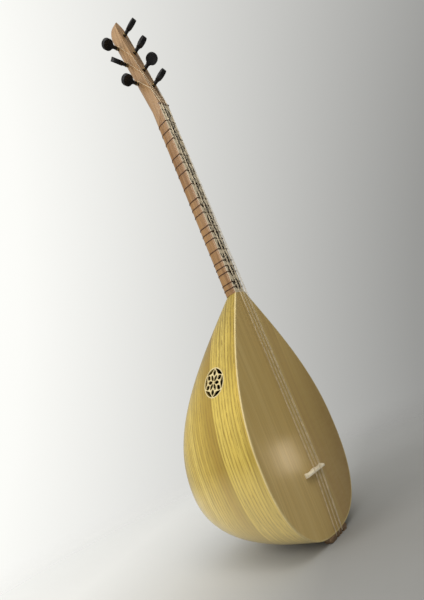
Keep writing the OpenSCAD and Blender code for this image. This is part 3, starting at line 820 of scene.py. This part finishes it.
def turned(made, profile, steps=48):
    """A closed solid of revolution about Z from (radius, height) points."""
    verts = [made.verts.new((r, 0, z)) for r, z in profile]
    edges = [made.edges.new(pair) for pair in zip(verts, verts[1:])]
    bmesh.ops.spin(made, geom=verts + edges, cent=(0, 0, 0), axis=(0, 0, 1),
                   angle=2 * math.pi, steps=steps, use_merge=True)
    bmesh.ops.remove_doubles(made, verts=made.verts, dist=0.01)


def peg_mesh(inside, turn):
    """A peg along +Z in millimetres, with 0 at the surface of the wood."""
    low = PEG_OUT - 2 * DISC + 1
    stem = bmesh.new()
    tip = SHAFT - inside * TAPER
    profile = [(0, -inside), (tip - 0.4, -inside), (tip, -inside + 0.4),
               (SHAFT - TAPER, 0), (SHAFT + (low - 4) * TAPER, low - 4), (4.9, low - 3.0)]
    profile += [(4.1 + 0.8 * math.cos(a), low - 2.1 + 0.8 * math.sin(a))
                for a in (-math.pi / 2 + math.pi * i / 8 for i in range(9))]
    profile += [(3.9, low - 0.9), (4.3, low + 0.4), (4.7, low + 2.0), (4.0, low + 4.2), (0, low + 5.0)]
    turned(stem, profile)
    disc = bmesh.new()
    half = DISC_THICK / 2
    face = [(0, -(half - 1.75))]
    face += [(r, -(half - 1.75 * (1 - (r / 9.9) ** 2))) for r in (2, 4, 6, 8, 9.2)]
    face += [(9.9, -half), (DISC - 0.9, -half)]
    face += [(DISC - 0.9 + 0.9 * math.sin(a), -half + 0.9 - 0.9 * math.cos(a))
             for a in (math.pi / 8 * i for i in range(1, 5))]
    face += [(r, -z) for r, z in reversed(face)]
    turned(disc, face, 64)
    tilt = Matrix.Translation((0, 0, PEG_OUT - DISC)) @ Matrix.Rotation(math.pi / 2, 4, "X")
    bmesh.ops.transform(disc, matrix=tilt, verts=disc.verts)
    part = bpy.data.meshes.new("disc")
    disc.to_mesh(part)
    disc.free()
    stem.from_mesh(part)
    bpy.data.meshes.remove(part)
    bmesh.ops.recalc_face_normals(stem, faces=stem.faces)
    bmesh.ops.rotate(stem, verts=stem.verts, matrix=Matrix.Rotation(math.radians(turn), 3, "Z"))
    return stem


def peg_frame(out, across, behind, up):
    """Matrix that stands a peg made along +Z on the head; out is its direction in the frame."""
    place = along_head(across, behind, up)
    if out == "front":
        z = Vector((0, -math.cos(LEAN), math.sin(LEAN)))
        x = Vector((1, 0, 0))
    else:
        z = Vector((-1, 0, 0))
        x = Vector((0, math.sin(LEAN), math.cos(LEAN)))
    y = z.cross(x)
    return Matrix.Translation(place) @ Matrix((x, y, z)).transposed().to_4x4() @ Matrix.Scale(MM, 4)


def ebonised_finish():
    """Black-stained hardwood, waxed: faint brown grain, tiny scratches and a soft gloss."""
    wood = Finish("peg_black", 0.40, coat=0.05, coat_rough=0.2)
    grain = wood.noise(wood.stretched(1, 0.3, 1), 500.0, 3.0)
    scratches = wood.noise(wood.stretched(1, 6, 1), 260.0, 4.0, 0.7)
    wood.colour(wood.ramp(grain, (0.35, (0.006, 0.006, 0.007)), (0.62, (0.012, 0.011, 0.011)),
                          (0.8, (0.032, 0.026, 0.022))))
    wood.rough(wood.ramp(scratches, (0.3, 0.34), (0.7, 0.50)))
    wood.relief(scratches, 0.0001, 0.35)
    return wood.material


# Each peg's height above the nut in millimetres and the turn of its disc in degrees.
FRONT_PEGS = ((52.0, 54), (98.0, -43), (148.0, 61), (202.0, 56))
SIDE_PEGS = ((76.0, -60), (130.0, 28), (180.0, -64))
THROUGH = 0.6
ebonised = ebonised_finish()
pegs = [(f"front_peg_{k}", peg_frame("front", 0, 0, up), NECK_DEPTH + THROUGH, turn)
        for k, (up, turn) in enumerate(FRONT_PEGS, 1)]
pegs += [(f"side_peg_{k}", peg_frame("side", side_across, SIDE_BEHIND, up), -2 * side_across + THROUGH, turn)
         for k, (up, turn) in enumerate(SIDE_PEGS, 1)]
for name, stand, inside, turn in pegs:
    made = peg_mesh(inside, turn)
    bmesh.ops.transform(made, matrix=stand, verts=made.verts)
    new_piece(name, made, name, ebonised, smooth=0.7, stands_for=[name])


# ---- String turns on the pegs -------------------------------------------------------------
# The wound end of each string: five close turns of wire round the shaft near the head, which
# turn with the peg.
def wire_finish(name, tint, rough, metal=0.2):
    """Drawn metal wire: fine rings across it, tarnished in places."""
    wire = Finish(name, rough, metal=metal)
    tarnish = wire.noise(wire.place, 130.0, 3.0)
    rings = wire.noise(wire.stretched(0.2, 0.2, 1), 2600.0, 1.0)
    wire.colour(wire.ramp(tarnish, (0.3, tuple(c * 0.55 for c in tint)), (0.6, tint)))
    wire.rough(wire.ramp(tarnish, (0.3, rough + 0.15), (0.7, rough)))
    wire.relief(rings, 0.00005, 0.5)
    return wire.material


WIND, WIND_OUT, WIND_PITCH = 0.42, 4.4, 0.66
brass_wire = wire_finish("wound_wire", (0.84, 0.70, 0.48), 0.42)
steel_wire = wire_finish("plain_wire", (0.94, 0.83, 0.62), 0.42)
turn_wire = wire_finish("turn_wire", (0.34, 0.24, 0.11), 0.32, 0.9)
for name, stand, inside, turn in pegs:
    radius = SHAFT + TAPER * WIND_OUT + WIND - 0.1
    coil = []
    for i in range(5 * 28 + 1):
        angle = 2 * math.pi * i / 28
        height = WIND_OUT + (i / 28 - 2.5) * WIND_PITCH
        coil.append(stand @ Vector((radius * math.cos(angle), radius * math.sin(angle), height)))
    mesh = wires("coil", [coil], 0.32, sides=2)
    winding = name.replace("peg", "winding")
    new_piece(winding, mesh, name, turn_wire, smooth=1.2, stands_for=[winding])


# ---- Bridge -------------------------------------------------------------------------------
# A small loose bridge of pale wood on two feet, pressed on the soundboard by the strings, with
# a shallow notch for each string.
bridge_wood = pale_finish("bridge_wood", (0.95, 0.88, 0.70), (0.66, 0.54, 0.34))
new_piece("bridge", dressed_copy("bridge", 0.35), "instrument", bridge_wood, smooth=0.5,
          stands_for=["bridge"])


# ---- Strings ------------------------------------------------------------------------------
# Seven steel strings in three courses, the first and the fifth wound. Each runs taut from its
# peg over nut and bridge and down into a slot of the string holder.
NUT_HEIGHT, BRIDGE_HEIGHT = 2.2, 9.0
# Each string's place across the instrument, from the bass side.
AT_NUT = (-9.6, -7.4, -1.6, 0.8, 6.0, 7.9, 9.8)
AT_BRIDGE = (-9.0, -6.4, 0.6, 3.2, 10.0, 12.2, 14.4)
AT_HOLDER = (-9.2, -7.2, 1.8, 3.6, 11.2, 12.8, 14.4)
THIN, WOUND = 0.22, 0.42
lay = SHAFT + TAPER * (WIND_OUT + 2) + 0.01 + 2 * WIND + 0.3


def touching(start, middle, radius, side):
    """Where a line from start touches a circle, on the given side of it."""
    away = math.hypot(start[0] - middle[0], start[1] - middle[1])
    angle = math.atan2(start[1] - middle[1], start[0] - middle[0]) + side * math.acos(radius / away)
    return middle[0] + radius * math.cos(angle), middle[1] + radius * math.sin(angle)


for i in range(7):
    radius = WOUND if i in (0, 4) else THIN
    if i < 3:
        leave = (40.0, 86.0, 132.0)[i]
        q = touching((-0.6 - radius, leave), (SIDE_BEHIND, SIDE_PEGS[i][0]), lay + radius, -1)
        path = [along_head(side_across - WIND_OUT, *q),
                along_head(-NECK_HALF - 0.35 - radius, -0.35 - radius, leave)]
    else:
        q = touching((AT_NUT[i], 0), (0, FRONT_PEGS[i - 3][0]), lay + radius, 1)
        path = [along_head(q[0], -WIND_OUT, q[1])]
    path += [along_neck(AT_NUT[i], -NUT_HEIGHT - radius * 0.2, NUT),
             along_neck(AT_BRIDGE[i], -BRIDGE_HEIGHT - radius * 0.2, TAIL + BRIDGE_UP),
             along_neck(AT_HOLDER[i], -1.0 - radius, TAIL + 1.6),
             along_neck(AT_HOLDER[i], -0.2, 2.6 + radius),
             along_neck(AT_HOLDER[i], 5.5, 2.2 + radius)]
    name = f"string_{i + 1}"
    wire = brass_wire if radius == WOUND else steel_wire
    new_piece(name, wires(name, [path], radius, sides=3), "instrument", wire, smooth=1.2,
              stands_for=[name])


# ---- Floor and light ----------------------------------------------------------------------
# A pale floor, darkened towards the treble side by painted shade, fades into a backdrop that is
# light on the bass side and grey on the treble side, and dimmer where it shows in gloss. A window
# lamp and a ceiling lamp light the whole; weaker lamps lift the head and the soundboard, and a small
# one gives the board its shine.
floor = bmesh.new()
bmesh.ops.create_circle(floor, segments=96, radius=2.6, cap_ends=True)
floor_mesh = bpy.data.meshes.new("floor")
floor.to_mesh(floor_mesh)
floor.free()
floor_piece = bpy.data.objects.new("floor", floor_mesh)
bpy.context.scene.collection.objects.link(floor_piece)
studio = Finish("floor_paint", 0.75)
to_treble = studio.add("VectorMath", (0, studio.place), (1, (0.25, -0.75, 0.0)), operation="DOT_PRODUCT")
# Painted shade: the floor's colour darkens from pale towards the front and the treble side.
painted_floor_shade = studio.ramp(studio.maths("ADD", to_treble.outputs["Value"], 0.5), (0.02, (0.76, 0.76, 0.74)),
                    (0.25, (0.56, 0.56, 0.545)), (0.50, (0.27, 0.27, 0.262)), (0.75, (0.22, 0.22, 0.213)))
mottle = studio.ramp(studio.noise(studio.place, 2.5, 4.0), (0.3, 0.0), (0.7, 0.08))
studio.colour(studio.mix(mottle, painted_floor_shade, (0.50, 0.50, 0.49)))
reach = studio.add("VectorMath", (0, studio.place), operation="LENGTH").outputs["Value"]
solid = studio.ramp(studio.maths("MULTIPLY", reach, 0.4), (0.06, 1.0), (0.62, 0.0))
solid.node.color_ramp.interpolation = "EASE"
studio.tree.links.new(solid, studio.shader.inputs["Alpha"])
floor_mesh.materials.append(studio.material)

world = bpy.data.worlds.new("studio")
world.use_nodes = True
backdrop = Wiring(world.node_tree)
direction = backdrop.add("TexCoord").outputs["Generated"]
to_bass = backdrop.add("VectorMath", (0, direction), (1, (-0.315, 0.345, 0.18)), operation="DOT_PRODUCT")
tone = backdrop.ramp(backdrop.maths("ADD", to_bass.outputs["Value"], 0.5), (0.0, (0.10, 0.10, 0.095)),
                     (0.30, (0.28, 0.28, 0.27)), (0.52, (0.60, 0.60, 0.58)),
                     (0.69, (0.85, 0.85, 0.82)), (1.0, (1.0, 1.0, 0.98)))
in_gloss = backdrop.add("LightPath").outputs["Is Glossy Ray"]
strength = backdrop.add("MapRange", ("Value", in_gloss), ("To Min", 1.15), ("To Max", 0.50))
background = backdrop.tree.nodes["Background"]
backdrop.tree.links.new(tone, background.inputs["Color"])
backdrop.tree.links.new(strength.outputs["Result"], background.inputs["Strength"])
bpy.context.scene.world = world


def soft_light(name, place, aim, size, power, tint=(1, 1, 1), spread=180):
    """A rectangular lamp that the camera can't see."""
    data = bpy.data.lights.new(name, "AREA")
    data.shape, data.size, data.size_y = "RECTANGLE", size[0], size[1]
    data.energy, data.color, data.spread = power, tint, math.radians(spread)
    lamp = bpy.data.objects.new(name, data)
    lamp.visible_camera = False
    bpy.context.scene.collection.objects.link(lamp)
    towards = Vector(aim) - Vector(place)
    lamp.matrix_world = Matrix.Translation(place) @ towards.to_track_quat("-Z", "Y").to_matrix().to_4x4()


soft_light("window", (-2.4, 0.9, 1.7), (0, 0.1, 0.4), (1.0, 1.6), 27)
soft_light("ceiling", (-0.9, -0.2, 3.0), (0, 0.1, 0.5), (1.8, 1.8), 12)
soft_light("front", (-0.35, -0.6, 1.5), (0, 0.03, 1.02), (0.4, 0.4), 2.1)
soft_light("fill", (-0.5, -1.3, 2.1), (0, 0, 0.5), (0.9, 0.9), 8, (1, 0.90, 0.76))
soft_light("glint", (0.417, -0.353, 0.060), (-0.058, 0, 0.150), (0.05, 0.08), 0.0014, (1, 0.82, 0.60),
           spread=18)

bpy.context.scene.view_settings.view_transform = "Standard"
